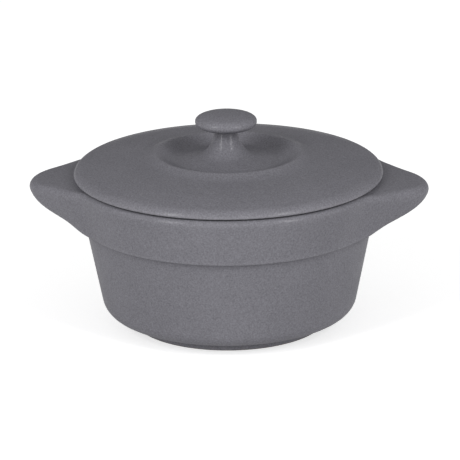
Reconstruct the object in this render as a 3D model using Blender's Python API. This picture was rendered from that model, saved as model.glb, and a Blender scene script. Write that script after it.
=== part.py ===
"""Mini cocotte: a small round ceramic pot with two lug handles and a lid with a knob.

Lengths are in metres. The origin is the middle of the face that the pot stands on, +Z is up and the handles lie
along X. The lid lifts straight up along Z.
"""
import math

import bmesh
import bpy

MM = 0.001

# Fineness of the round forms
POT_STEPS = 60
KNOB_STEPS = 32
ARC_STEP = math.radians(30)
CURVE_STEPS = 8
HANDLE_STEPS = 36
HANDLE_ARC_STEPS = 4
SHARP_ANGLE = math.radians(40)
WELD = 0.001 * MM

# Clearances
SLIP_JOINT = 0.3 * MM
SEAT_GAP = 0.3 * MM
FLANGE_CLEARANCE = 0.8 * MM

# Pot: outer form
RIM_HEIGHT = 48.7 * MM
RIM_RADIUS = 50.0 * MM
WALL_LEAN = math.radians(11.2)
COLLAR_HEIGHT = 15.4 * MM
COLLAR_STEP = 1.25 * MM
BOTTOM_ROUND = 5.6 * MM
FOOT_INSET = 8.8 * MM
FOOT_HEIGHT = 3.6 * MM
FOOT_WIDTH = 3.0 * MM
FOOT_RECESS = 1.6 * MM

# Pot: inside
WALL_THICKNESS = 3.6 * MM
FLOOR_THICKNESS = 4.0 * MM
FLOOR_ROUND = 7.0 * MM

# Pot: small roundings
RIM_OUTER_ROUND = 0.5 * MM
RIM_INNER_ROUND = 0.8 * MM
COLLAR_ROUND = 0.8 * MM
STEP_FILLET = 0.4 * MM
FOOT_ROUND = 0.5 * MM

# Handles: in plan a lobe with a round tip, straight sides and fillets that run into the collar. The top falls a
# little to the tip, the underside rises to it, and the side between them leans more and more from root to tip.
HANDLE_LENGTH = 14.4 * MM
HANDLE_TIP_RADIUS = 12.8 * MM
HANDLE_ROOT_WIDTH = 43.7 * MM
HANDLE_ROOT_FILLET = 18.0 * MM
HANDLE_ROOT_THICKNESS = 0.7 * MM
HANDLE_TOP_FALL = 2.4 * MM
HANDLE_TIP_THICKNESS = 5.3 * MM
HANDLE_TIP_LEAN = math.radians(21.7)
HANDLE_TOP_ROUND = 2.4 * MM
HANDLE_UNDERSIDE_ROUND = 6.9 * MM

# Lid: heights are measured up from the face that rests on the rim
LID_SETBACK = 0.7 * MM
LID_EDGE_ROUND = 0.3 * MM
SHOULDER_SETBACK = 1.0 * MM
SHOULDER_HEIGHT = 2.2 * MM
SHOULDER_ROUND = 4.5 * MM
DOME_SETBACK = 7.8 * MM
DOME_HEIGHT = 4.1 * MM
DOME_ROUND = 60.0 * MM
RIDGE_WIDTH = 4.8 * MM
RIDGE_HEIGHT = 1.4 * MM
RIDGE_FILLET = 12.0 * MM
CREST_RADIUS = 22.6 * MM
CREST_HEIGHT = 7.0 * MM
CREST_ROUND = 1.8 * MM
DISH_DEPTH = 2.0 * MM
DISH_SLOPE_WIDTH = 5.3 * MM
DISH_ROUND = 5.0 * MM
LID_THICKNESS = 4.0 * MM
FLANGE_HEIGHT = 4.0 * MM
FLANGE_WIDTH = 3.0 * MM
FLANGE_ROUND = 0.8 * MM

# Knob
KNOB_HEIGHT = 14.4 * MM
CAP_RADIUS = 9.8 * MM
CAP_CROWN = 2.7 * MM
CAP_UNDERSIDE = 2.8 * MM
NECK_RADIUS = 3.3 * MM
STEM_RADIUS = 9.5 * MM
STEM_EDGE = 0.5 * MM
STEM_HOLLOW_RADIUS = 4.5 * MM
STEM_HOLLOW_HEIGHT = 2.8 * MM

# Finish, as linear colour
GLAZE_COLOUR = (0.178, 0.175, 0.192, 1.0)
GLAZE_ROUGHNESS = 0.42


def collar_radius(height):
    """Outer radius of the collar's leaning face."""
    return RIM_RADIUS - (RIM_HEIGHT - height) * math.tan(WALL_LEAN)


def wall_radius(height):
    """Outer radius of the wall below the collar, which leans as the collar does."""
    return collar_radius(height) - COLLAR_STEP


def inner_radius(height):
    """Radius of the inside of the wall."""
    return wall_radius(height) - WALL_THICKNESS


def corner_turn(before, corner, after):
    """Signed angle by which an outline turns at a corner."""
    way_in = (corner[0] - before[0], corner[1] - before[1])
    way_out = (after[0] - corner[0], after[1] - corner[1])
    cross = way_in[0] * way_out[1] - way_in[1] * way_out[0]
    return math.atan2(cross, way_in[0] * way_out[0] + way_in[1] * way_out[1])


def rounded(corners, steps=None):
    """Outline through (radius, height, rounding) corners, with an arc in place of each corner between its ends.

    Where two arcs would meet on a side that is too short for them, both are made smaller.
    """
    triples = list(zip(corners, corners[1:], corners[2:]))
    turns = [corner_turn(*triple) for triple in triples]
    trims = [corner[2] * math.tan(abs(turn) / 2) for (_, corner, _), turn in zip(triples, turns)]
    wanted = [0.0, *trims, 0.0]
    sides = [math.dist(a[:2], b[:2]) for a, b in zip(corners, corners[1:])]
    share = [min(1.0, side / (a + b)) for side, a, b in zip(sides, wanted, wanted[1:])]
    points = [corners[0][:2]]
    for i, (before, corner, _) in enumerate(triples):
        trim = trims[i] * min(share[i], share[i + 1])
        points += corner_arc(before, corner, turns[i], trim, steps)
    points.append(corners[-1][:2])
    return points


def corner_arc(before, corner, turn, trim, steps=None):
    """Arc that leaves the side before a corner at a distance from it and turns onto the side after it."""
    length = math.dist(before[:2], corner[:2])
    way = ((corner[0] - before[0]) / length, (corner[1] - before[1]) / length)
    radius = trim / math.tan(turn / 2)
    start = (corner[0] - trim * way[0], corner[1] - trim * way[1])
    centre = (start[0] - radius * way[1], start[1] + radius * way[0])
    steps = steps or max(2, math.ceil(abs(turn) / ARC_STEP))
    points = []
    for i in range(steps + 1):
        angle = turn * i / steps
        points.append((
            centre[0] + radius * (way[1] * math.cos(angle) + way[0] * math.sin(angle)),
            centre[1] + radius * (way[1] * math.sin(angle) - way[0] * math.cos(angle)),
        ))
    return points


def curve(start, control, end):
    """Points after the start of a curve that leaves towards the control point and arrives from it."""
    points = []
    for i in range(1, CURVE_STEPS + 1):
        t = i / CURVE_STEPS
        weights = ((1 - t) ** 2, 2 * t * (1 - t), t ** 2)
        points.append(tuple(sum(w * p[k] for w, p in zip(weights, (start, control, end))) for k in (0, 1)))
    return points


def glaze(name):
    """Satin grey glaze."""
    material = bpy.data.materials.new(name + "_glaze")
    material.use_nodes = True
    shader = material.node_tree.nodes["Principled BSDF"]
    shader.inputs["Base Color"].default_value = GLAZE_COLOUR
    shader.inputs["Roughness"].default_value = GLAZE_ROUGHNESS
    shader.inputs["Metallic"].default_value = 0.0
    return material


def add_solid(name, shape, parent=None):
    """Close a shape into a named object with its own glaze."""
    bmesh.ops.remove_doubles(shape, verts=shape.verts, dist=WELD)
    bmesh.ops.recalc_face_normals(shape, faces=shape.faces)
    mesh = bpy.data.meshes.new(name)
    shape.to_mesh(mesh)
    shape.free()
    mesh.shade_smooth()
    mesh.set_sharp_from_angle(angle=SHARP_ANGLE)
    mesh.materials.append(glaze(name))
    item = bpy.data.objects.new(name, mesh)
    item.parent = parent
    bpy.context.collection.objects.link(item)
    return item


def turned(name, outline, steps, parent=None):
    """Solid turned about Z from an outline that starts and ends on the axis."""
    shape = bmesh.new()
    verts = [shape.verts.new((radius, 0.0, height)) for radius, height in outline]
    edges = [shape.edges.new(pair) for pair in zip(verts, verts[1:])]
    bmesh.ops.spin(shape, geom=verts + edges, cent=(0, 0, 0), axis=(0, 0, 1), angle=math.tau, steps=steps)
    return add_solid(name, shape, parent)


def make_bowl():
    """Floor, wall, collar and foot ring in one turned form."""
    floor = FOOT_HEIGHT + FLOOR_THICKNESS
    collar_bottom = RIM_HEIGHT - COLLAR_HEIGHT
    foot_outside = wall_radius(FOOT_HEIGHT) - FOOT_INSET
    foot_inside = foot_outside - FOOT_WIDTH
    outline = rounded([
        (0.0, floor),
        (inner_radius(floor), floor, FLOOR_ROUND),
        (inner_radius(RIM_HEIGHT), RIM_HEIGHT, RIM_INNER_ROUND),
        (RIM_RADIUS, RIM_HEIGHT, RIM_OUTER_ROUND),
        (collar_radius(collar_bottom), collar_bottom, COLLAR_ROUND),
        (wall_radius(collar_bottom), collar_bottom, STEP_FILLET),
        (wall_radius(FOOT_HEIGHT), FOOT_HEIGHT, BOTTOM_ROUND),
        (foot_outside, FOOT_HEIGHT, FOOT_ROUND),
        (foot_outside, 0.0, FOOT_ROUND),
        (foot_inside, 0.0, FOOT_ROUND),
        (foot_inside, FOOT_RECESS, FOOT_ROUND),
        (0.0, FOOT_RECESS),
    ])
    return turned("pot_bowl", outline, POT_STEPS)


def handle_root_reach():
    """Distance from the pot's axis at which the lobe's outline ends on the collar."""
    return RIM_RADIUS + SLIP_JOINT + HANDLE_ROOT_THICKNESS


def handle_side():
    """Straight side of the lobe, as the bearing of its outward normal and its distance from the pot's axis."""
    tip_centre = RIM_RADIUS + HANDLE_LENGTH - HANDLE_TIP_RADIUS
    half_width = HANDLE_ROOT_WIDTH / 2
    root = (math.sqrt(handle_root_reach() ** 2 - half_width ** 2), half_width)
    span = math.dist(root, (tip_centre, 0.0))
    normal = math.atan2(root[1], root[0] - tip_centre) - math.acos(HANDLE_TIP_RADIUS / span)
    return normal, tip_centre * math.cos(normal) + HANDLE_TIP_RADIUS


def fillet_centre():
    """Centre of the fillet between the lobe's side and the collar, as its bearing and distance from the pot's axis."""
    normal, side = handle_side()
    distance = RIM_RADIUS + HANDLE_ROOT_FILLET
    return normal - math.acos((side + HANDLE_ROOT_FILLET) / distance), distance


def handle_outline(angle):
    """Distance from the pot's axis to the lobe's outline: a round tip, a straight side, then a fillet."""
    normal, side = handle_side()
    bearing, distance = fillet_centre()
    tip_centre = RIM_RADIUS + HANDLE_LENGTH - HANDLE_TIP_RADIUS
    angle = abs(angle)
    tip_end = math.atan2(
        HANDLE_TIP_RADIUS * math.sin(normal),
        tip_centre + HANDLE_TIP_RADIUS * math.cos(normal),
    )
    fillet_start = math.atan2(
        distance * math.sin(bearing) - HANDLE_ROOT_FILLET * math.sin(normal),
        distance * math.cos(bearing) - HANDLE_ROOT_FILLET * math.cos(normal),
    )
    if angle < tip_end:
        half_chord = math.sqrt(HANDLE_TIP_RADIUS ** 2 - (tip_centre * math.sin(angle)) ** 2)
        return tip_centre * math.cos(angle) + half_chord
    if angle < fillet_start:
        return side / math.cos(angle - normal)
    half_chord = math.sqrt(HANDLE_ROOT_FILLET ** 2 - (distance * math.sin(bearing - angle)) ** 2)
    return distance * math.cos(bearing - angle) - half_chord


def handle_half_angle():
    """Angle about the pot's axis from the tip to where the fillet thins out on the collar."""
    bearing, distance = fillet_centre()
    reach = handle_root_reach()
    cosine = (distance ** 2 + reach ** 2 - HANDLE_ROOT_FILLET ** 2) / (2 * distance * reach)
    return bearing - math.acos(cosine)


def handle_section(angle):
    """Closed section of the lobe in the plane through the pot's axis at an angle."""
    bottom = RIM_HEIGHT - COLLAR_HEIGHT
    outside = handle_outline(angle)
    share = (outside - RIM_RADIUS) / HANDLE_LENGTH
    top = RIM_HEIGHT - share * HANDLE_TOP_FALL
    underside = bottom + share * (COLLAR_HEIGHT - HANDLE_TOP_FALL - HANDLE_TIP_THICKNESS)
    lean = WALL_LEAN + share * (HANDLE_TIP_LEAN - WALL_LEAN)
    return rounded([
        (RIM_RADIUS + SLIP_JOINT, RIM_HEIGHT),
        (outside, top, HANDLE_TOP_ROUND),
        (outside - (top - underside) * math.tan(lean), underside, HANDLE_UNDERSIDE_ROUND),
        (collar_radius(bottom) + SLIP_JOINT, bottom),
    ], HANDLE_ARC_STEPS)


def make_handle(name, facing):
    """Lug of the collar, swept about the pot's axis from one root to the other."""
    half_angle = handle_half_angle()
    shape = bmesh.new()
    rings = []
    for i in range(HANDLE_STEPS + 1):
        angle = half_angle * (2 * i / HANDLE_STEPS - 1)
        way = (facing * math.cos(angle), math.sin(angle))
        section = handle_section(angle)
        rings.append([shape.verts.new((way[0] * r, way[1] * r, z)) for r, z in section])
    for ring, following in zip(rings, rings[1:]):
        for j in range(len(ring)):
            shape.faces.new((ring[j - 1], ring[j], following[j], following[j - 1]))
    shape.faces.new(rings[0])
    shape.faces.new(rings[-1])
    return add_solid(name, shape)


def make_lid_disc(parent):
    """Domed disc with a ridge round a dished centre, and a flange below that drops into the mouth."""
    seat = SEAT_GAP
    crest = seat + CREST_HEIGHT
    dish = crest - DISH_DEPTH
    edge = RIM_RADIUS - LID_SETBACK
    flange_bottom = seat - FLANGE_HEIGHT
    flange_outside = inner_radius(RIM_HEIGHT + flange_bottom) - FLANGE_CLEARANCE
    flange_inside = flange_outside - FLANGE_WIDTH
    outline = rounded([
        (0.0, dish),
        (CREST_RADIUS - DISH_SLOPE_WIDTH, dish, DISH_ROUND),
        (CREST_RADIUS, crest, CREST_ROUND),
        (CREST_RADIUS + RIDGE_WIDTH, crest - RIDGE_HEIGHT, RIDGE_FILLET),
        (edge - DOME_SETBACK, seat + DOME_HEIGHT, DOME_ROUND),
        (edge - SHOULDER_SETBACK, seat + SHOULDER_HEIGHT, SHOULDER_ROUND),
        (edge, seat, LID_EDGE_ROUND),
        (flange_outside, seat, STEP_FILLET),
        (flange_outside, flange_bottom, FLANGE_ROUND),
        (flange_inside, flange_bottom, FLANGE_ROUND),
        (flange_inside, seat, STEP_FILLET),
        (CREST_RADIUS, dish - LID_THICKNESS, DISH_ROUND),
        (0.0, dish - LID_THICKNESS),
    ])
    return turned("lid_disc", outline, POT_STEPS, parent)


def make_knob(parent):
    """Button cap on a stem that flares into the dish."""
    foot = SEAT_GAP + CREST_HEIGHT - DISH_DEPTH + SLIP_JOINT
    top = foot + KNOB_HEIGHT
    widest = top - CAP_CROWN
    neck_angle = math.acos(NECK_RADIUS / CAP_RADIUS)
    outline = []
    for i in range(CURVE_STEPS + 1):
        angle = math.pi / 2 * (1 - i / CURVE_STEPS)
        outline.append((CAP_RADIUS * math.cos(angle), widest + CAP_CROWN * math.sin(angle)))
    for i in range(1, CURVE_STEPS + 1):
        angle = neck_angle * i / CURVE_STEPS
        outline.append((CAP_RADIUS * math.cos(angle), widest - CAP_UNDERSIDE * math.sin(angle)))
    hollow = (STEM_HOLLOW_RADIUS, foot + STEM_HOLLOW_HEIGHT)
    outline += curve(outline[-1], hollow, (STEM_RADIUS, foot + STEM_EDGE))
    outline += [(STEM_RADIUS, foot), (0.0, foot)]
    return turned("lid_knob", outline, KNOB_STEPS, parent)


def main():
    for item in list(bpy.data.objects):
        bpy.data.objects.remove(item, do_unlink=True)
    make_bowl()
    make_handle("handle_left", -1)
    make_handle("handle_right", 1)
    lid_axis = bpy.data.objects.new("lid_axis", None)
    lid_axis.location = (0.0, 0.0, RIM_HEIGHT)
    bpy.context.collection.objects.link(lid_axis)
    make_lid_disc(lid_axis)
    make_knob(lid_axis)


main()
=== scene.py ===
# %% [markdown]
# # A mini cocotte in satin grey glaze
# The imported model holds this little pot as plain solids: a bowl, two lug handles, a lid and its knob. The
# fired pot is smoother than that. Its handles flow out of the collar and its knob out of the lid, under one
# satin glaze. This lesson models those flowing skins, parts them again into the five pieces, glazes them
# and sets up the studio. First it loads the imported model, which fixes where everything is.

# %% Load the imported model
import math

import bpy
import numpy as np
from mathutils import Matrix, Vector


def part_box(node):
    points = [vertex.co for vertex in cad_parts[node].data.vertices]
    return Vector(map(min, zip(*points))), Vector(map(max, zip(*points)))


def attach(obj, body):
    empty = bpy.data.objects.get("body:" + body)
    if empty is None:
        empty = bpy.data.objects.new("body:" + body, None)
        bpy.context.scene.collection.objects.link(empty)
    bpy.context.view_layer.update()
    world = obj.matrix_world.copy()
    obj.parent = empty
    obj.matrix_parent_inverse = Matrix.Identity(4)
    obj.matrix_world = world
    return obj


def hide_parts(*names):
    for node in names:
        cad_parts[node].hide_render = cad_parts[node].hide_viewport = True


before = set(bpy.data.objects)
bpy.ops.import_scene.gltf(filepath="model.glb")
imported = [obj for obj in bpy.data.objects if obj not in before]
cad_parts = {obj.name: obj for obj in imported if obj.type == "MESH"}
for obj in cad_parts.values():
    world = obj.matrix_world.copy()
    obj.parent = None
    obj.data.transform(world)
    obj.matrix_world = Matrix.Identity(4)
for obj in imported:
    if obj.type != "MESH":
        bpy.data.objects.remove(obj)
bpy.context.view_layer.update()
MM = 0.001

# %% [markdown]
# ## Outlines
# A potter turns a bowl against a template, and a lathe form in Blender starts the same way, with half of
# its outline. An outline could be drawn freehand, but a few corners with a rounding each say more about the
# form, and are easy to change. `rounded` replaces every corner by an arc. Where two arcs would meet on a
# side that is too short for both, each is made smaller.

# %% Round the corners of an outline
ARC_STEP = math.radians(9)
FEWEST_ARC_STEPS = 3


def corner_turn(before, corner, after):
    """Signed angle by which an outline turns at a corner."""
    way_in = (corner[0] - before[0], corner[1] - before[1])
    way_out = (after[0] - corner[0], after[1] - corner[1])
    cross = way_in[0] * way_out[1] - way_in[1] * way_out[0]
    return math.atan2(cross, way_in[0] * way_out[0] + way_in[1] * way_out[1])


def corner_arc(before, corner, turn, trim):
    """Arc that leaves the side before a corner at a distance from it and turns onto the side after it."""
    length = math.dist(before[:2], corner[:2])
    way = ((corner[0] - before[0]) / length, (corner[1] - before[1]) / length)
    radius = trim / math.tan(turn / 2)
    start = (corner[0] - trim * way[0], corner[1] - trim * way[1])
    centre = (start[0] - radius * way[1], start[1] + radius * way[0])
    steps = max(FEWEST_ARC_STEPS, math.ceil(abs(turn) / ARC_STEP))
    points = []
    for i in range(steps + 1):
        angle = turn * i / steps
        points.append((
            centre[0] + radius * (way[1] * math.cos(angle) + way[0] * math.sin(angle)),
            centre[1] + radius * (way[1] * math.sin(angle) - way[0] * math.cos(angle)),
        ))
    return points


def rounded(corners):
    """Outline through (radius, height, rounding) corners, with an arc for each corner between its ends."""
    triples = list(zip(corners, corners[1:], corners[2:]))
    turns = [corner_turn(*triple) for triple in triples]
    trims = [corner[2] * math.tan(abs(turn) / 2) for (_, corner, _), turn in zip(triples, turns)]
    wanted = [0.0, *trims, 0.0]
    sides = [math.dist(a[:2], b[:2]) for a, b in zip(corners, corners[1:])]
    share = [min(1.0, side / (a + b)) for side, a, b in zip(sides, wanted, wanted[1:])]
    points = [corners[0][:2]]
    for i, (before, corner, _) in enumerate(triples):
        points += corner_arc(before, corner, turns[i], trims[i] * min(share[i], share[i + 1]))
    return points + [corners[-1][:2]]


square_corner = rounded([(0.0, 0.0), (10.0, 0.0, 2.0), (10.0, 10.0)])
print("a square corner becomes an arc of", len(square_corner) - 2, "points")

# %% [markdown]
# A long straight side of an outline becomes a long thin face, and the glaze later needs points to hold its
# marks. `divided` splits such sides. `even_rows` goes further and respaces a whole outline, so that two
# outlines of different length get matching rows.

# %% Space the points of an outline
def divided(points, longest):
    """The same outline with its long sides split, so that no step is longer than a given length."""
    split = [points[0]]
    for start, end in zip(points, points[1:]):
        parts = math.ceil(math.dist(start, end) / longest)
        for i in range(1, parts + 1):
            share = i / parts
            split.append((start[0] + share * (end[0] - start[0]), start[1] + share * (end[1] - start[1])))
    return split


def even_rows(points, count):
    """The same outline with its points at even steps along it."""
    lengths = [0.0]
    for a, b in zip(points, points[1:]):
        lengths.append(lengths[-1] + math.dist(a, b))
    steps = np.linspace(0.0, lengths[-1], count)
    radii = np.interp(steps, lengths, [point[0] for point in points])
    heights = np.interp(steps, lengths, [point[1] for point in points])
    return list(zip(radii.tolist(), heights.tolist()))


print("the same corner in steps of 1 or less:", len(divided(square_corner, 1.0)), "points")

# %% [markdown]
# ## The pot's sizes
# The wall leans outwards all the way up. The collar is the thicker band round its top, and it ends in a
# small step. The rim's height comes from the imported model, and the other sizes are the pot's own.

# %% Sizes of the pot
RIM_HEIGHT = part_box("pot_bowl")[1].z
RIM_RADIUS = 50.0 * MM
WALL_LEAN = math.tan(math.radians(11.2))
COLLAR_BOTTOM = RIM_HEIGHT - 15.4 * MM
COLLAR_STEP = 1.25 * MM
WALL_THICKNESS = 3.6 * MM
FOOT_HEIGHT = 3.6 * MM
FOOT_INSET = 8.8 * MM
FOOT_WIDTH = 3.0 * MM
FOOT_RECESS = 1.6 * MM
FLOOR_HEIGHT = 7.6 * MM


def collar_radius(height):
    """Outer radius of the collar's leaning face."""
    return RIM_RADIUS - (RIM_HEIGHT - height) * WALL_LEAN


def wall_radius(height):
    """Outer radius of the wall below the collar."""
    return collar_radius(height) - COLLAR_STEP


def inner_radius(height):
    """Radius of the inside of the wall."""
    return wall_radius(height) - WALL_THICKNESS


foot_outside = wall_radius(FOOT_HEIGHT) - FOOT_INSET
foot_inside = foot_outside - FOOT_WIDTH
print("foot, mm across:", round(2 * foot_outside / MM, 1))

# %% [markdown]
# ## The lugs in plan
# Seen from above, a lug is a lobe with a round tip and straight sides that sweep into the collar. Each side
# touches the tip's circle and a fillet's circle, so the whole outline is three arcs and two lines. Written
# as a distance from the pot's axis at an angle, it can later be followed column by column round the pot.

# %% Outline of a lug in plan
LUG_LENGTH = 14.55 * MM
LUG_TIP_RADIUS = 12.8 * MM
LUG_SIDE_BEARING = math.radians(48.8)
LUG_FILLET = 18.0 * MM

tip_centre = RIM_RADIUS + LUG_LENGTH - LUG_TIP_RADIUS
side_distance = tip_centre * math.cos(LUG_SIDE_BEARING) + LUG_TIP_RADIUS
fillet_distance = RIM_RADIUS + LUG_FILLET
lug_half_angle = LUG_SIDE_BEARING - math.acos((side_distance + LUG_FILLET) / fillet_distance)


def bearing_of(distance, bearing, reach):
    """Angle about the pot's axis of the point where a lug's side touches a circle of its outline."""
    return math.atan2(
        distance * math.sin(bearing) + reach * math.sin(LUG_SIDE_BEARING),
        distance * math.cos(bearing) + reach * math.cos(LUG_SIDE_BEARING),
    )


tip_end = bearing_of(tip_centre, 0.0, LUG_TIP_RADIUS)
fillet_start = bearing_of(fillet_distance, lug_half_angle, -LUG_FILLET)


def lug_outline(angle):
    """Distance from the pot's axis to the lug's outline at an angle from its tip."""
    angle = abs(angle)
    if angle < tip_end:
        across = tip_centre * math.sin(angle)
        return tip_centre * math.cos(angle) + math.sqrt(LUG_TIP_RADIUS ** 2 - across ** 2)
    if angle < fillet_start:
        return side_distance / math.cos(angle - LUG_SIDE_BEARING)
    if angle < lug_half_angle:
        across = fillet_distance * math.sin(lug_half_angle - angle)
        return fillet_distance * math.cos(lug_half_angle - angle) - math.sqrt(LUG_FILLET ** 2 - across ** 2)
    return RIM_RADIUS


print("each lug spans, degrees:", round(2 * math.degrees(lug_half_angle), 1))

# %% [markdown]
# ## The collar's skin
# A lug that grows out of the collar is the collar's own section, drawn out: its upper and lower corners
# move away from the axis, its roundings grow and its face leans more. One function gives that section for
# any reach, from the plain collar to the lug's tip. Its points are spaced evenly, so that the same rows run
# all the way round the pot. The rim's top falls a little inwards, which keeps the gap under the lid dark.

# %% Section of the collar
COLLAR_ROWS = 72
RIM_TOP_START = RIM_RADIUS - 2.2 * MM
RIM_TOP_HEIGHT = RIM_HEIGHT - 0.3 * MM
STEP_MIDDLE = wall_radius(COLLAR_BOTTOM) + 0.45 * MM
RIM_ROUND = 1.5 * MM
COLLAR_ROUND = 0.8 * MM
LUG_ROOT_FALL = 1.0 * MM
LUG_ROOT_SHARE = 0.25
LUG_TIP_FALL = 2.4 * MM
LUG_TIP_THICKNESS = 5.7 * MM
LUG_UNDERSIDE_BOW = 1.22
LUG_TOP_ROUND = 2.4 * MM
LUG_UNDERSIDE_ROUND = 6.9 * MM
LUG_EXTRA_LEAN = math.tan(math.radians(11.3))
LUG_FULL_SHARE = 0.6


def eased(share):
    """Gentle start and stop between 0 and 1."""
    share = min(1.0, share)
    return share * share * (3.0 - 2.0 * share)


def collar_section(reach):
    """Rows from the top of the rim, round the collar or a lug of some reach, to the step below."""
    share = (reach - RIM_RADIUS) / LUG_LENGTH
    root_fall = eased(share / LUG_ROOT_SHARE) * LUG_ROOT_FALL
    top = RIM_HEIGHT - root_fall - share * (LUG_TIP_FALL - LUG_ROOT_FALL)
    tip_underside = RIM_HEIGHT - LUG_TIP_FALL - LUG_TIP_THICKNESS
    underside = COLLAR_BOTTOM + share ** LUG_UNDERSIDE_BOW * (tip_underside - COLLAR_BOTTOM)
    growth = eased(share / LUG_FULL_SHARE)
    face = (top - underside) * (WALL_LEAN + growth * LUG_EXTRA_LEAN)
    points = rounded([
        (RIM_TOP_START, RIM_TOP_HEIGHT),
        (reach, top, RIM_ROUND + growth * (LUG_TOP_ROUND - RIM_ROUND)),
        (reach - face, underside, COLLAR_ROUND + growth * (LUG_UNDERSIDE_ROUND - COLLAR_ROUND)),
        (STEP_MIDDLE, COLLAR_BOTTOM),
    ])
    return even_rows(points, COLLAR_ROWS)


plain_collar = collar_section(RIM_RADIUS)
print("collar rows:", len(plain_collar), "apart, mm:", round(math.dist(*plain_collar[:2]) / MM, 2))

# %% [markdown]
# ## Turning the pot
# The bowl is a lathe form, so its outline is spun round the Z axis. Blender needs a mesh to spin: a plane
# merged to its centre leaves a single point, and extruding that point over and over draws the outline.
# After the spin the first and last columns lie on each other, and so do the points on the axis, so doubles
# are merged before the normals are turned outwards.

# %% Draw an outline and spin it
WELD = 0.001 * MM


def draw_outline(name, points):
    """New piece, left in edit mode, with one edge after another along an outline in the XZ plane."""
    bpy.ops.object.select_all(action="DESELECT")
    bpy.ops.mesh.primitive_plane_add(size=MM)
    piece = bpy.context.object
    piece.name = name
    piece.data.name = name
    bpy.ops.object.mode_set(mode="EDIT")
    bpy.ops.mesh.merge(type="CENTER")
    bpy.ops.transform.translate(value=(points[0][0], 0.0, points[0][1]))
    for start, end in zip(points, points[1:]):
        step = (end[0] - start[0], 0.0, end[1] - start[1])
        bpy.ops.mesh.extrude_region_move(TRANSFORM_OT_translate={"value": step})
    return piece


def spin_round(piece, columns):
    """Turn the drawn outline into a closed, smooth form about the Z axis."""
    bpy.ops.mesh.select_all(action="SELECT")
    bpy.ops.mesh.spin(steps=columns, angle=math.tau, center=(0, 0, 0), axis=(0, 0, 1))
    bpy.ops.mesh.select_all(action="SELECT")
    bpy.ops.mesh.remove_doubles(threshold=WELD)
    bpy.ops.mesh.normals_make_consistent(inside=False)
    bpy.ops.object.mode_set(mode="OBJECT")
    bpy.ops.object.shade_smooth()
    print(piece.name, "faces:", len(piece.data.polygons))


# %% Turn the bowl
POT_COLUMNS = 288
ROW_LENGTH = 1.2 * MM
FLOOR_ROUND = 7.0 * MM
RIM_INNER_ROUND = 0.8 * MM
STEP_ROUND = 0.4 * MM
HEEL_ROUND = 5.6 * MM
FOOT_ROOT_ROUND = 0.8 * MM
FOOT_ROUND = 0.5 * MM

inside_outline = rounded([
    (0.0, FLOOR_HEIGHT),
    (inner_radius(FLOOR_HEIGHT), FLOOR_HEIGHT, FLOOR_ROUND),
    (inner_radius(RIM_TOP_HEIGHT), RIM_TOP_HEIGHT, RIM_INNER_ROUND),
    (RIM_TOP_START, RIM_TOP_HEIGHT),
])
wall_outline = rounded([
    (STEP_MIDDLE, COLLAR_BOTTOM),
    (wall_radius(COLLAR_BOTTOM), COLLAR_BOTTOM, STEP_ROUND),
    (wall_radius(FOOT_HEIGHT), FOOT_HEIGHT, HEEL_ROUND),
    (foot_outside, FOOT_HEIGHT, FOOT_ROOT_ROUND),
    (foot_outside, 0.0, FOOT_ROUND),
    (foot_inside, 0.0, FOOT_ROUND),
    (foot_inside, FOOT_RECESS, FOOT_ROUND),
    (0.0, FOOT_RECESS),
])
bowl = draw_outline("bowl", divided(inside_outline[:-1] + plain_collar + wall_outline[1:], ROW_LENGTH))
spin_round(bowl, POT_COLUMNS)

# %% [markdown]
# ## Drawing out the lugs
# The lugs could be extruded from the collar and bevelled, but the bevels would have to fade to nothing
# where a lug runs out, which a bevel can't do. Instead each column of the spun collar near a handle takes
# the section that the lug has at that angle. A point's row is found from its radius and height, and its
# column from its angle. The points that belong to a lug are remembered by their side, for parting the lugs
# from the bowl later.

# %% Draw out the lugs
SAME_PLACE = 0.01 * MM


def point_places(piece):
    """Places of a piece's points, one row each."""
    places = np.empty(len(piece.data.vertices) * 3)
    piece.data.vertices.foreach_get("co", places)
    return places.reshape(-1, 3)


column_step = math.tau / POT_COLUMNS
last_column = math.ceil(lug_half_angle / column_step)
places = point_places(bowl)
plain_radii = np.hypot(places[:, 0], places[:, 1])
plain_heights = places[:, 2].copy()
columns = np.rint(np.arctan2(places[:, 1], np.abs(places[:, 0])) / column_step)
lug_side = np.zeros(len(places))

for column in range(-last_column, last_column + 1):
    angle = column * column_step
    in_column = np.flatnonzero(columns == column)
    for plain, drawn in zip(plain_collar, collar_section(lug_outline(angle))):
        apart = np.hypot(plain_radii[in_column] - plain[0], plain_heights[in_column] - plain[1])
        here = in_column[apart < SAME_PLACE]
        lug_side[here] = np.sign(places[here, 0])
        places[here, 0] = lug_side[here] * drawn[0] * math.cos(angle)
        places[here, 1] = drawn[0] * math.sin(angle)
        places[here, 2] = drawn[1]

bowl.data.vertices.foreach_set("co", places.ravel())
bowl.data.update()
print("pot across the lugs, mm:", round(np.ptp(places[:, 0]) / MM, 1))

# %% [markdown]
# ## The lid and its knob
# The lid is a shallow dome with a raised ring round a dished centre. Its knob is a button on a stem that
# flares out into the dish. Its edge ends in a small rounded lip just clear of the rim, and underneath a
# flange drops into the mouth of the pot. All of it is round, so one outline from the top of the button to
# the middle of the underside makes the whole lid.

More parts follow.
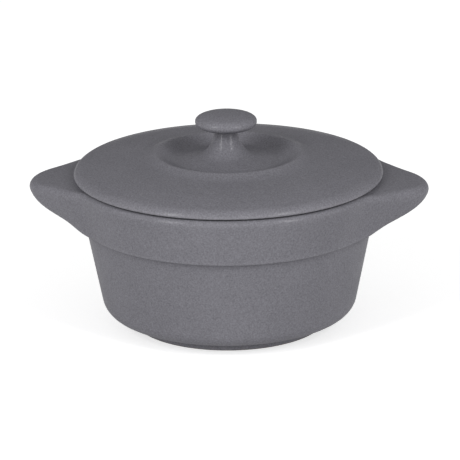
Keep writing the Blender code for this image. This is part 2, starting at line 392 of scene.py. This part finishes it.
# %% Sizes of the lid
FLANGE_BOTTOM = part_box("lid_disc")[0].z
FLANGE_HEIGHT = 4.0 * MM
FLANGE_CLEARANCE = 0.8 * MM
FLANGE_WIDTH = 3.0 * MM
LID_SEAT = FLANGE_BOTTOM + FLANGE_HEIGHT
LID_RADIUS = RIM_RADIUS - 0.6 * MM
LIP_HEIGHT = LID_SEAT - 0.15 * MM
DOME_RADIUS = LID_RADIUS - 7.9 * MM
DOME_HEIGHT = LID_SEAT + 4.1 * MM
SHOULDER_RADIUS = LID_RADIUS - 0.9 * MM
SHOULDER_HEIGHT = LID_SEAT + 2.1 * MM
CREST_RADIUS = 22.9 * MM
CREST_HEIGHT = LID_SEAT + 7.0 * MM
RIDGE_RADIUS = CREST_RADIUS + 4.0 * MM
RIDGE_HEIGHT = CREST_HEIGHT - 1.5 * MM
DISH_RADIUS = CREST_RADIUS - 6.1 * MM
DISH_HEIGHT = CREST_HEIGHT - 2.6 * MM
FLANGE_OUTSIDE = inner_radius(FLANGE_BOTTOM) - FLANGE_CLEARANCE
FLANGE_INSIDE = FLANGE_OUTSIDE - FLANGE_WIDTH
LID_UNDERSIDE = CREST_HEIGHT - 6.0 * MM
print("lid, mm across:", round(2 * LID_RADIUS / MM, 1))

# %% Sizes of the knob
KNOB_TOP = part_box("lid_knob")[1].z
CAP_RADIUS = 9.8 * MM
CAP_MIDDLE = KNOB_TOP - 2.7 * MM
CAP_UNDERSIDE = 2.8 * MM
CAP_FULLNESS = 2 / 2.4
NECK = (3.45 * MM, CREST_HEIGHT + 6.9 * MM)
NECK_FILLET = 1.0 * MM
STEM_WAIST = (4.35 * MM, CREST_HEIGHT + 2.4 * MM)
STEM_TOE = (6.3 * MM, CREST_HEIGHT - 0.6 * MM)
STEM_FOOT = (9.6 * MM, CREST_HEIGHT - 1.2 * MM)
KNOB_EDGE = STEM_FOOT[0] + WELD
print("knob, mm above the crest:", round((KNOB_TOP - CREST_HEIGHT) / MM, 1))

# %% [markdown]
# The button's edge is fuller than an ellipse, and the stem is a free curve, as a thrown knob has it between
# two fingers. `cap_arc` follows the first and `curve` the second.

# %% Curves of the knob
CURVE_STEPS = 14


def curve(*ends_and_controls):
    """Points along a smooth curve between the outer points, drawn towards the inner ones."""
    degree = len(ends_and_controls) - 1
    points = []
    for i in range(CURVE_STEPS + 1):
        share = i / CURVE_STEPS
        weights = [
            math.comb(degree, k) * share ** k * (1 - share) ** (degree - k) for k in range(degree + 1)
        ]
        radius = sum(weight * point[0] for weight, point in zip(weights, ends_and_controls))
        height = sum(weight * point[1] for weight, point in zip(weights, ends_and_controls))
        points.append((radius, height))
    return points


def cap_arc(first, last, height):
    """Part of the button's edge between two angles from its widest point: an ellipse, a little fuller."""
    points = []
    for angle in np.linspace(first, last, CURVE_STEPS + 1):
        out = abs(math.cos(angle)) ** CAP_FULLNESS
        up = math.copysign(abs(math.sin(angle)) ** CAP_FULLNESS, angle)
        points.append((CAP_RADIUS * out, CAP_MIDDLE + height * up))
    return points


neck_angle = math.acos(((NECK[0] + NECK_FILLET) / CAP_RADIUS) ** (1 / CAP_FULLNESS))
cap_outline = cap_arc(math.pi / 2, 0.0, KNOB_TOP - CAP_MIDDLE)
cap_outline += cap_arc(0.0, -neck_angle, CAP_UNDERSIDE)[1:]
fillet_outline = curve(cap_outline[-1], (NECK[0], cap_outline[-1][1]), NECK)
stem_outline = curve(NECK, STEM_WAIST, STEM_TOE, STEM_FOOT)
knob_outline = cap_outline + fillet_outline[1:] + stem_outline[1:]
print("knob outline, points:", len(knob_outline))

# %% Turn the lid
LID_COLUMNS = 256
DISH_ROUND = 5.0 * MM
CREST_ROUND = 1.8 * MM
RIDGE_ROUND = 12.0 * MM
DOME_ROUND = 60.0 * MM
SHOULDER_ROUND = 3.6 * MM
LIP_ROUND = 0.6 * MM
FLANGE_ROOT_ROUND = 0.4 * MM
FLANGE_ROUND = 0.8 * MM
UNDERSIDE_ROUND = 5.0 * MM

disc_outline = rounded([
    STEM_FOOT,
    (DISH_RADIUS, DISH_HEIGHT, DISH_ROUND),
    (CREST_RADIUS, CREST_HEIGHT, CREST_ROUND),
    (RIDGE_RADIUS, RIDGE_HEIGHT, RIDGE_ROUND),
    (DOME_RADIUS, DOME_HEIGHT, DOME_ROUND),
    (SHOULDER_RADIUS, SHOULDER_HEIGHT, SHOULDER_ROUND),
    (LID_RADIUS, LIP_HEIGHT, LIP_ROUND),
    (FLANGE_OUTSIDE, LID_SEAT, FLANGE_ROOT_ROUND),
    (FLANGE_OUTSIDE, FLANGE_BOTTOM, FLANGE_ROUND),
    (FLANGE_INSIDE, FLANGE_BOTTOM, FLANGE_ROUND),
    (FLANGE_INSIDE, LID_SEAT, FLANGE_ROOT_ROUND),
    (CREST_RADIUS, LID_UNDERSIDE, UNDERSIDE_ROUND),
    (0.0, LID_UNDERSIDE),
])
lid = draw_outline("lid_dome", divided(knob_outline + disc_outline[1:], ROW_LENGTH))
spin_round(lid, LID_COLUMNS)

# %% [markdown]
# The knob was set on by hand, and in the photograph it sits a little to the left of the ring round it. Its
# points are moved by as much, and those of the dish follow less and less towards the ring. Which points are
# the knob's is remembered, for parting it from the lid later.

# %% Set the knob
KNOB_SHIFT = -0.6 * MM

lid_places = point_places(lid)
from_axis = np.hypot(lid_places[:, 0], lid_places[:, 1])
on_top = lid_places[:, 2] > DISH_HEIGHT - WELD
on_knob = on_top & (from_axis < KNOB_EDGE) | (lid_places[:, 2] > CREST_HEIGHT)
follow = np.clip((DISH_RADIUS - from_axis) / (DISH_RADIUS - KNOB_EDGE), 0.0, 1.0)
lid_places[:, 0] += KNOB_SHIFT * np.where(on_knob, 1.0, follow * on_top)
lid.data.vertices.foreach_set("co", lid_places.ravel())
lid.data.update()
print("points of the knob:", on_knob.sum())

# %% [markdown]
# ## How the skin bends
# Molten glaze runs off sharp edges, where it stays thin and pale, and gathers in hollows, where it is deep
# and dark. The glaze's colour here also carries painted light: painted shade in the hollows and a painted
# highlight on the edges. The skin's bend tells the two apart. It is measured at each point from how the
# normals open along its edges, positive on an edge and negative in a hollow, and spread over about a
# millimetre as the melt would. A point attribute carries it to the glaze. The normals are kept too, because
# the next step cuts through the smooth skin.

# %% Measure the bend of the skin
SPREAD_FINENESS = 0.25 * MM
SPREAD_RATE = 0.6
SPREAD_ROUNDS = 40


def mean_at_points(values, ends, count):
    """Mean, at each point, of the values that its edges bring to it."""
    sums = np.bincount(ends[:, 0], values[:, 0], count) + np.bincount(ends[:, 1], values[:, 1], count)
    return sums / np.bincount(ends.ravel(), minlength=count)


def measure_skin(piece):
    """Keep a piece's normals and the bend of its skin, one over its radius in metres, as point attributes."""
    mesh = piece.data
    count = len(mesh.vertices)
    places = point_places(piece)
    normals = np.empty(count * 3)
    mesh.vertex_normals.foreach_get("vector", normals)
    normals = normals.reshape(-1, 3)
    ends = np.empty(len(mesh.edges) * 2, dtype=np.int32)
    mesh.edges.foreach_get("vertices", ends)
    ends = ends.reshape(-1, 2)
    along = places[ends[:, 1]] - places[ends[:, 0]]
    opening = normals[ends[:, 1]] - normals[ends[:, 0]]
    squares = (along ** 2).sum(axis=1)
    edge_bend = (along * opening).sum(axis=1) / squares
    bend = mean_at_points(np.column_stack((edge_bend, edge_bend)), ends, count)
    flow = SPREAD_FINENESS ** 2 / (squares + SPREAD_FINENESS ** 2)
    for _ in range(SPREAD_ROUNDS):
        step = flow * (bend[ends[:, 1]] - bend[ends[:, 0]])
        bend += SPREAD_RATE * mean_at_points(np.column_stack((step, -step)), ends, count)
    mesh.attributes.new("bend", "FLOAT", "POINT").data.foreach_set("value", bend)
    kept = mesh.attributes.new("skin_normal", "FLOAT_VECTOR", "POINT")
    kept.data.foreach_set("vector", normals.ravel())
    print(piece.name, "bend, 1/m:", [round(float(b)) for b in np.percentile(bend, (1, 50, 99))])


measure_skin(bowl)
measure_skin(lid)

# %% [markdown]
# ## Parting the pieces
# The potter models handles and knob on their own and joins them with slip, so each is a piece of its own
# here too. Modelling them apart would leave seams in the skin. Cutting them out of the finished skin
# doesn't: the selected faces are separated, both sides of the cut are closed, and the kept normals are put
# back on, so that the light runs across the joint. The closing faces lie inside the clay, where nobody sees
# them.

# %% Cut faces off as a new piece
def face_points(piece):
    """Point numbers of a piece's faces in one run, and where each face starts in it."""
    points = np.empty(len(piece.data.loops), dtype=np.int32)
    piece.data.loops.foreach_get("vertex_index", points)
    starts = np.empty(len(piece.data.polygons), dtype=np.int32)
    piece.data.polygons.foreach_get("loop_start", starts)
    return points, starts


def only(piece):
    """Select one piece and make it the active one."""
    bpy.ops.object.select_all(action="DESELECT")
    piece.select_set(True)
    bpy.context.view_layer.objects.active = piece


def select_in_edit(piece, kind, elements, chosen):
    """Go into edit mode with the chosen edges or faces selected, and nothing else."""
    only(piece)
    bpy.ops.object.mode_set(mode="EDIT")
    bpy.ops.mesh.select_mode(type=kind)
    bpy.ops.mesh.select_all(action="DESELECT")
    bpy.ops.object.mode_set(mode="OBJECT")
    elements.foreach_set("select", chosen)
    bpy.ops.object.mode_set(mode="EDIT")


def cut_off(piece, name, inside):
    """Separate the faces whose points are all inside, and give back the new piece."""
    points, starts = face_points(piece)
    chosen = np.logical_and.reduceat(inside[points], starts)
    select_in_edit(piece, "FACE", piece.data.polygons, chosen)
    bpy.ops.mesh.separate(type="SELECTED")
    bpy.ops.object.mode_set(mode="OBJECT")
    new_piece = next(item for item in bpy.context.selected_objects if item is not piece)
    new_piece.name = name
    new_piece.data.name = name
    print(name, "faces cut off:", chosen.sum())
    return new_piece


# %% [markdown]
# A cut leaves an open edge on both pieces. Round the knob it is a flat circle, which one face fills. Round
# a lug it has a long upper and a long lower side, which follow the rim: those two are bridged first, so
# that the closing face keeps to the curve of the wall, and then the two ends are filled.

# %% Close a cut
def close_cut(piece):
    """Close the open edge of a piece, with a strip between its two long sides where it has them."""
    mesh = piece.data
    edge_numbers = np.empty(len(mesh.loops), dtype=np.int32)
    mesh.loops.foreach_get("edge_index", edge_numbers)
    is_open = np.bincount(edge_numbers, minlength=len(mesh.edges)) == 1
    ends = np.empty(len(mesh.edges) * 2, dtype=np.int32)
    mesh.edges.foreach_get("vertices", ends)
    places = point_places(piece)[ends.reshape(-1, 2)]
    radii = np.hypot(places[:, :, 0], places[:, :, 1])
    level = np.ptp(places[:, :, 2], axis=1) < WELD
    round_the_axis = np.ptp(radii, axis=1) < WELD
    is_flat = np.ptp(places[is_open][:, :, 2]) < WELD
    select_in_edit(piece, "EDGE", mesh.edges, is_open & level & round_the_axis)
    if not is_flat:
        bpy.ops.mesh.bridge_edge_loops()
    bpy.ops.mesh.select_all(action="DESELECT")
    bpy.ops.mesh.select_non_manifold(
        use_wire=False, use_multi_face=False, use_non_contiguous=False, use_verts=False,
    )
    bpy.ops.mesh.fill_holes(sides=0)
    bpy.ops.mesh.select_all(action="SELECT")
    bpy.ops.mesh.normals_make_consistent(inside=False)
    bpy.ops.object.mode_set(mode="OBJECT")
    print(piece.name, "edges closed:", is_open.sum())


def keep_skin(piece):
    """Put the normals of the uncut skin back on a piece."""
    only(piece)
    bpy.ops.object.shade_smooth()
    kept = piece.data.attributes["skin_normal"]
    normals = np.empty(len(piece.data.vertices) * 3, dtype=np.float32)
    kept.data.foreach_get("vector", normals)
    piece.data.normals_split_custom_set_from_vertices(normals.reshape(-1, 3).tolist())
    piece.data.attributes.remove(piece.data.attributes["skin_normal"])
    print(piece.name, "faces:", len(piece.data.polygons))


# %% Part the lugs and the knob
marks = bowl.data.attributes.new("lug_side", "FLOAT", "POINT")
marks.data.foreach_set("value", lug_side)
lugs = {}
for name, side in (("left_lug", -1), ("right_lug", 1)):
    on_side = np.empty(len(bowl.data.vertices), dtype=np.float32)
    bowl.data.attributes["lug_side"].data.foreach_get("value", on_side)
    lugs[name] = cut_off(bowl, name, on_side == side)
    close_cut(bowl)
    close_cut(lugs[name])

knob = cut_off(lid, "lid_knob_button", on_knob)
close_cut(lid)
close_cut(knob)

pot_pieces = {"pot_bowl": bowl, "handle_left": lugs["left_lug"], "handle_right": lugs["right_lug"]}
lid_pieces = {"lid_disc": lid, "lid_knob": knob}
for piece in (*pot_pieces.values(), *lid_pieces.values()):
    if "lug_side" in piece.data.attributes:
        piece.data.attributes.remove(piece.data.attributes["lug_side"])
    keep_skin(piece)

# %% [markdown]
# Each piece now stands for one solid of the imported model, which is hidden, and moves with that solid's
# body.

# %% Hand the pieces to the model
for body, slot, pieces in (("pot", "pot_glaze", pot_pieces), ("lid", "lid_glaze", lid_pieces)):
    for node, piece in pieces.items():
        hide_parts(node)
        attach(piece, body)
        low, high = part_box(node)
        print(piece.name, "stands for", node, "mm:", [round(side / MM, 1) for side in high - low])

# %% [markdown]
# ## Nodes in one line
# A glaze is a tree of nodes. Adding a node, setting it and linking its inputs takes many lines, and a small
# helper makes it one call. An input gets a plain value or the output of another node.

# %% Add a node
NODE_SPACING = 220


def add_node(tree, kind, inputs=None, **settings):
    """New node with its settings, and a value or a link for each input, which is named or numbered."""
    node = tree.nodes.new(kind)
    node.location.x = NODE_SPACING * len(tree.nodes)
    for name, value in settings.items():
        setattr(node, name, value)
    for name, value in (inputs or {}).items():
        if isinstance(value, bpy.types.NodeSocket):
            tree.links.new(value, node.inputs[name])
        else:
            node.inputs[name].default_value = value
    return node


def new_group(name, inputs, outputs):
    """New node group with named inputs and outputs, its tree and its two end nodes."""
    tree = bpy.data.node_groups.new(name, "ShaderNodeTree")
    for label, kind in inputs.items():
        tree.interface.new_socket(label, in_out="INPUT", socket_type=kind)
    for label in outputs:
        tree.interface.new_socket(label, in_out="OUTPUT", socket_type="NodeSocketFloat")
    return tree, add_node(tree, "NodeGroupInput").outputs, add_node(tree, "NodeGroupOutput")


# %% [markdown]
# ## The glaze's grain
# Up close the satin glaze is not one grey. It has fine specks of half a millimetre, soft clouds of a
# centimetre or so, and a faintly uneven skin like the peel of an orange. Three noises at those three scales
# make them. They share a group, because pot and lid wear the same glaze, and each material sets how strong
# they are.

# %% Group for the grain
SPECK_SIZE = 0.48 * MM
PEEL_SIZE = 2.6 * MM
CLOUD_SIZE = 12.0 * MM
SPECK_DETAIL = 2.0
PEEL_DETAIL = 1.0
CLOUD_DETAIL = 3.0
NOISE_LOW = 0.25
NOISE_HIGH = 0.75
CLOUD_SHINE = 0.04
PEEL_SHINE = 0.02
SPECK_HEIGHT = 0.3

grain_tree, grain_in, grain_out = new_group(
    "glaze_grain",
    {
        "Vector": "NodeSocketVector",
        "Specks": "NodeSocketFloat",
        "Clouds": "NodeSocketFloat",
        "Shine": "NodeSocketFloat",
    },
    ("Tone", "Shine", "Height"),
)


def swing(tree, vector, size, detail):
    """Noise of one size that swings between about -1 and 1."""
    noise = add_node(tree, "ShaderNodeTexNoise", {"Vector": vector, "Scale": 1 / size, "Detail": detail})
    spread = {
        "Value": noise.outputs["Fac"],
        "From Min": NOISE_LOW,
        "From Max": NOISE_HIGH,
        "To Min": -1.0,
        "To Max": 1.0,
    }
    return add_node(tree, "ShaderNodeMapRange", spread).outputs["Result"]


def times_plus(tree, value, factor, addend):
    """A value times a factor, plus another value."""
    terms = {0: value, 1: factor, 2: addend}
    return add_node(tree, "ShaderNodeMath", terms, operation="MULTIPLY_ADD").outputs[0]


specks = swing(grain_tree, grain_in["Vector"], SPECK_SIZE, SPECK_DETAIL)
peel = swing(grain_tree, grain_in["Vector"], PEEL_SIZE, PEEL_DETAIL)
clouds = swing(grain_tree, grain_in["Vector"], CLOUD_SIZE, CLOUD_DETAIL)
clouded = times_plus(grain_tree, clouds, grain_in["Clouds"], 1.0)
tone = times_plus(grain_tree, specks, grain_in["Specks"], clouded)
shiny_clouds = times_plus(grain_tree, clouds, CLOUD_SHINE, grain_in["Shine"])
shine = times_plus(grain_tree, peel, PEEL_SHINE, shiny_clouds)
skin_height = times_plus(grain_tree, specks, SPECK_HEIGHT, peel)
grain_tree.links.new(tone, grain_out.inputs["Tone"])
grain_tree.links.new(shine, grain_out.inputs["Shine"])
grain_tree.links.new(skin_height, grain_out.inputs["Height"])
print("grain group, nodes:", len(grain_tree.nodes))

# %% [markdown]
# ## Thin glaze and painted highlight, deep glaze and painted shade
# This group reads the bend that the skin carries and turns it into one number: 0 in a hollow, 1 on an edge.
# A slow noise makes it waver, as a melt does. The materials turn the number into a colour: deep glaze with
# painted shade in the hollows, thin glaze with a painted highlight on the edges.

# %% Group for the run of the glaze, with its painted shade and painted highlight
HOLLOW_BEND = -240.0
EDGE_BEND = 600.0
FLAT_RUN_AND_SHADE = HOLLOW_BEND / (HOLLOW_BEND - EDGE_BEND)
WAVER_SIZE = 7.0 * MM
WAVER_DETAIL = 2.0
WAVER_STRENGTH = 0.2

run_and_shade_tree, run_and_shade_in, run_and_shade_out = new_group("glaze_run_and_shade", {"Vector": "NodeSocketVector"}, ("Run and shade",))
skin_bend = add_node(run_and_shade_tree, "ShaderNodeAttribute", attribute_name="bend").outputs["Fac"]
wave = swing(run_and_shade_tree, run_and_shade_in["Vector"], WAVER_SIZE, WAVER_DETAIL)
waver = times_plus(run_and_shade_tree, wave, WAVER_STRENGTH, 1.0)
wavering = add_node(run_and_shade_tree, "ShaderNodeMath", {0: skin_bend, 1: waver}, operation="MULTIPLY").outputs[0]
# Hollows go to 0, deep glaze with painted shade; edges go to 1, thin glaze with a painted highlight.
limits = {"Value": wavering, "From Min": HOLLOW_BEND, "From Max": EDGE_BEND}
flow = add_node(run_and_shade_tree, "ShaderNodeMapRange", limits).outputs["Result"]
run_and_shade_tree.links.new(flow, run_and_shade_out.inputs["Run and shade"])
print("a flat face has flow", round(FLAT_RUN_AND_SHADE, 2))

# %% [markdown]
# ## The glaze
# The colour starts from the run of the glaze, dark where it is deep and pale where it is thin, and that
# darkening of hollows and lightening of edges is partly painted shade and painted highlight. The grain
# lightens and darkens it a little. The glaze is matt, with only the narrow weak highlights of a thin glassy
# layer. A shiny base would mirror the white floor on every edge, so the base has no shine, and a weak coat
# over it, varied by the same grain, gives the highlights. A bump of a hundredth of a millimetre makes the
# base a little uneven. The pot's glaze stops at the foot: a pot would stick to the kiln's shelf, so the ring
# that it stands on is wiped bare before firing. A Mix node has the same names for its values and its
# colours, so its sockets go by number.

# %% Glaze of the lid
GLAZE = (0.178, 0.175, 0.195, 1.0)
# Darker deep glaze with painted shade for the hollows, paler thin glaze with a painted highlight for the
# edges.
DEEP_GLAZE_AND_SHADE = (0.164, 0.161, 0.180, 1.0)
THIN_GLAZE_AND_HIGHLIGHT = (0.212, 0.208, 0.230, 1.0)
GLAZE_ROUGHNESS = 0.6
BASE_SHINE = 0.0
GLAZE_SHINE = 0.18
SHINE_ROUGHNESS = 0.17
SPECK_STRENGTH = 0.24
CLOUD_STRENGTH = 0.025
PEEL_DEPTH = 0.012 * MM


def make_glaze(name):
    """Satin glaze: its material and shader, the outputs for places and colour, and its grain node."""
    material = bpy.data.materials.new(name)
    material.use_nodes = True
    tree = material.node_tree
    shader = tree.nodes["Principled BSDF"]
    shader.inputs["Roughness"].default_value = GLAZE_ROUGHNESS
    shader.inputs["Specular IOR Level"].default_value = BASE_SHINE
    shader.inputs["Coat Roughness"].default_value = SHINE_ROUGHNESS
    vector = add_node(tree, "ShaderNodeTexCoord").outputs["Object"]
    run_and_shade = add_node(tree, "ShaderNodeGroup", node_tree=run_and_shade_tree)
    tree.links.new(vector, run_and_shade.inputs["Vector"])
    grain = add_node(tree, "ShaderNodeGroup", node_tree=grain_tree)
    tree.links.new(vector, grain.inputs["Vector"])
    grain.inputs["Specks"].default_value = SPECK_STRENGTH
    grain.inputs["Clouds"].default_value = CLOUD_STRENGTH
    grain.inputs["Shine"].default_value = GLAZE_SHINE
    # The ramp darkens hollows and lightens edges: deep and thin glaze, together with painted shade and
    # painted highlight.
    ramp = add_node(tree, "ShaderNodeValToRGB", {"Fac": run_and_shade.outputs["Run and shade"]})
    ramp.color_ramp.elements[0].color = DEEP_GLAZE_AND_SHADE
    ramp.color_ramp.elements[1].color = THIN_GLAZE_AND_HIGHLIGHT
    ramp.color_ramp.elements.new(FLAT_RUN_AND_SHADE).color = GLAZE
    shade = {0: ramp.outputs["Color"], "Scale": grain.outputs["Tone"]}
    colour = add_node(tree, "ShaderNodeVectorMath", shade, operation="SCALE").outputs["Vector"]
    skin = {"Height": grain.outputs["Height"], "Distance": PEEL_DEPTH}
    bump = add_node(tree, "ShaderNodeBump", skin)
    tree.links.new(colour, shader.inputs["Base Color"])
    tree.links.new(grain.outputs["Shine"], shader.inputs["Coat Weight"])
    tree.links.new(bump.outputs["Normal"], shader.inputs["Normal"])
    return material, shader, vector, colour, grain


lid_glaze = make_glaze("lid_glaze")[0]
for piece in lid_pieces.values():
    piece.data.materials.clear()
    piece.data.materials.append(lid_glaze)
print("lid glaze, nodes:", len(lid_glaze.node_tree.nodes))

# %% Glaze of the pot
CLAY = (0.44, 0.41, 0.37, 1.0)
CLAY_SHINE = 0.0
GLAZE_LINE = 0.2 * MM
LINE_SOFTNESS = 0.1 * MM
LINE_UNEVENNESS = 0.1 * MM
MIX_FACTOR = 0
MIX_VALUES = (2, 3)
MIX_COLOURS = (6, 7)
MIX_VALUE_OUT = 0
MIX_COLOUR_OUT = 2

pot_glaze, pot_shader, pot_vector, pot_colour, pot_grain = make_glaze("pot_glaze")
pot_tree = pot_glaze.node_tree
height = add_node(pot_tree, "ShaderNodeSeparateXYZ", {"Vector": pot_vector}).outputs["Z"]
uneven_height = times_plus(pot_tree, pot_grain.outputs["Height"], LINE_UNEVENNESS, height)
wiped = {
    "Value": uneven_height,
    "From Min": GLAZE_LINE + LINE_SOFTNESS,
    "From Max": GLAZE_LINE - LINE_SOFTNESS,
}
bare = add_node(pot_tree, "ShaderNodeMapRange", wiped).outputs["Result"]
clay_shade = {0: CLAY[:3], "Scale": pot_grain.outputs["Tone"]}
clay = add_node(pot_tree, "ShaderNodeVectorMath", clay_shade, operation="SCALE").outputs["Vector"]
colours = {MIX_FACTOR: bare, MIX_COLOURS[0]: pot_colour, MIX_COLOURS[1]: clay}
skin_colour = add_node(pot_tree, "ShaderNodeMix", colours, data_type="RGBA")
shines = {MIX_FACTOR: bare, MIX_VALUES[0]: pot_grain.outputs["Shine"], MIX_VALUES[1]: CLAY_SHINE}
skin_shine = add_node(pot_tree, "ShaderNodeMix", shines)
pot_tree.links.new(skin_colour.outputs[MIX_COLOUR_OUT], pot_shader.inputs["Base Color"])
pot_tree.links.new(skin_shine.outputs[MIX_VALUE_OUT], pot_shader.inputs["Coat Weight"])
for piece in pot_pieces.values():
    piece.data.materials.clear()
    piece.data.materials.append(pot_glaze)
print("pot glaze, nodes:", len(pot_tree.nodes))

# %% [markdown]
# ## The camera
# The photograph looks down at the pot from a little above, almost straight at its front. A long lens far
# away gives the same flat perspective.

# %% Camera
VIEW_TARGET = Vector((0.0, 0.0, 30.0 * MM))
VIEW_AZIMUTH = math.radians(4.0)
VIEW_ELEVATION = math.radians(18.135)
VIEW_DISTANCE = 1100.0 * MM
VIEW_ROLL = math.radians(0.6)
VIEW_SHIFT = (0.322 * MM, -0.233 * MM)
VIEW_WIDTH = 146.87 * MM
SENSOR_WIDTH = 36.0


def towards(azimuth, elevation):
    """Direction from the pot, at an azimuth from its front and an elevation above level."""
    return Vector((
        math.sin(azimuth) * math.cos(elevation),
        -math.cos(azimuth) * math.cos(elevation),
        math.sin(elevation),
    ))


back = towards(VIEW_AZIMUTH, VIEW_ELEVATION)
level_right = Vector((math.cos(VIEW_AZIMUTH), math.sin(VIEW_AZIMUTH), 0.0))
level_up = back.cross(level_right)
camera_right = level_right * math.cos(VIEW_ROLL) - level_up * math.sin(VIEW_ROLL)
camera_up = back.cross(camera_right)
camera_data = bpy.data.cameras.new("photo_camera")
camera_data.sensor_width = SENSOR_WIDTH
camera_data.lens = SENSOR_WIDTH * VIEW_DISTANCE / VIEW_WIDTH
camera = bpy.data.objects.new("photo_camera", camera_data)
bpy.context.scene.collection.objects.link(camera)
camera_place = VIEW_TARGET + back * VIEW_DISTANCE
camera_place = camera_place + camera_right * VIEW_SHIFT[0] + camera_up * VIEW_SHIFT[1]
camera_turn = Matrix((camera_right, camera_up, back)).transposed().to_4x4()
camera.matrix_world = Matrix.Translation(camera_place) @ camera_turn
bpy.context.scene.camera = camera
print("lens, mm:", round(camera_data.lens, 1))

# %% [markdown]
# ## The floor
# The pot stands on a white sweep that fades into the white background. More light would also brighten the
# pot, so the floor's paint is an ordinary white, and rays that come from the camera, a reflection or a
# glass see a glow added to it. The glow lifts the floor to white and leaves the pot's shadow on it.

# %% White sweep
FLOOR_SIZE = 6.0
FLOOR_PAINT = (0.8, 0.8, 0.8, 1.0)
FLOOR_GLOW = 0.6

bpy.ops.object.select_all(action="DESELECT")
bpy.ops.mesh.primitive_plane_add(size=FLOOR_SIZE)
floor = bpy.context.object
floor.name = "white_sweep"
sweep = bpy.data.materials.new("white_sweep")
sweep.use_nodes = True
sweep_tree = sweep.node_tree
sweep_tree.nodes.clear()
ray = add_node(sweep_tree, "ShaderNodeLightPath").outputs
seen = {0: ray["Is Camera Ray"], 1: ray["Is Glossy Ray"]}
seen_or_mirrored = add_node(sweep_tree, "ShaderNodeMath", seen, operation="MAXIMUM").outputs[0]
seen_by_all = {0: seen_or_mirrored, 1: ray["Is Transmission Ray"]}
visible = add_node(sweep_tree, "ShaderNodeMath", seen_by_all, operation="MAXIMUM").outputs[0]
glowing = {0: visible, 1: FLOOR_GLOW}
strength = add_node(sweep_tree, "ShaderNodeMath", glowing, operation="MULTIPLY").outputs[0]
paint = add_node(sweep_tree, "ShaderNodeBsdfDiffuse", {"Color": FLOOR_PAINT}).outputs[0]
glow = add_node(sweep_tree, "ShaderNodeEmission", {"Strength": strength}).outputs[0]
both = add_node(sweep_tree, "ShaderNodeAddShader", {0: paint, 1: glow}).outputs[0]
add_node(sweep_tree, "ShaderNodeOutputMaterial", {"Surface": both})
floor.data.materials.append(sweep)
print("floor, m across:", FLOOR_SIZE)

# %% [markdown]
# ## The light
# The two thin pale lines on the knob's stem tell of two tall narrow softboxes, one on each side of the
# camera and a little above it, and the evenly lit front tells of a white room round them. Two upright area
# lights and a plain white world make the same light.

# %% Softboxes and room
SOFTBOX_WIDTH = 0.27
SOFTBOX_HEIGHT = 0.9
SOFTBOX_DISTANCE = 1.3
SOFTBOX_ELEVATION = math.radians(25.0)
SOFTBOX_SPREAD = math.radians(45.0)
LEFT_POWER = 9.1
RIGHT_POWER = 8.5
ROOM_LIGHT = 0.325
ROOM_COLOUR = (1.0, 1.0, 1.0, 1.0)

for name, side, power in (("left_softbox", -1, LEFT_POWER), ("right_softbox", 1, RIGHT_POWER)):
    way = towards(VIEW_AZIMUTH + side * SOFTBOX_SPREAD, SOFTBOX_ELEVATION)
    light = bpy.data.lights.new(name, "AREA")
    light.shape = "RECTANGLE"
    light.size = SOFTBOX_WIDTH
    light.size_y = SOFTBOX_HEIGHT
    light.energy = power
    softbox = bpy.data.objects.new(name, light)
    turn = way.to_track_quat("Z", "Y").to_matrix().to_4x4()
    softbox.matrix_world = Matrix.Translation(VIEW_TARGET + way * SOFTBOX_DISTANCE) @ turn
    bpy.context.scene.collection.objects.link(softbox)
    print(name, "watts:", power)

room = bpy.data.worlds.new("white_room")
room.use_nodes = True
room.node_tree.nodes["Background"].inputs["Color"].default_value = ROOM_COLOUR
room.node_tree.nodes["Background"].inputs["Strength"].default_value = ROOM_LIGHT
bpy.context.scene.world = room
bpy.context.scene.view_settings.view_transform = "Standard"
